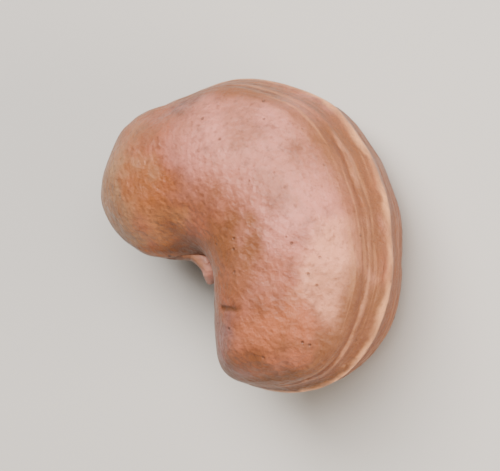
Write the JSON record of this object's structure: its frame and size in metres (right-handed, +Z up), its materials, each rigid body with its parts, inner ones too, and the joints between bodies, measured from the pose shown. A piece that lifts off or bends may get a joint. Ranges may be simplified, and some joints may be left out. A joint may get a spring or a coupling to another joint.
{
  "type": "cashew nut in shell",
  "caption": "Raw cashew nut in its reddish-brown shell, bean-shaped with a notch on one side, a raised seam along its edge, a curled nub in the notch and a stalk scar.",
  "frame": {"origin": "middle of the footprint, at the height of the low places that the nut rests on", "axes": "+X along the nut's length from the stalk lobe to the far lobe, +Y towards the rounded back, away from the notch, +Z up through the broad faces"},
  "size_m": [0.031, 0.0258, 0.017],
  "materials": {
    "nut_shell": "satin shell, reddish brown"
  },
  "bodies": {
    "root": {"cashew_nut": "nut_shell"}
  },
  "joints": []
}
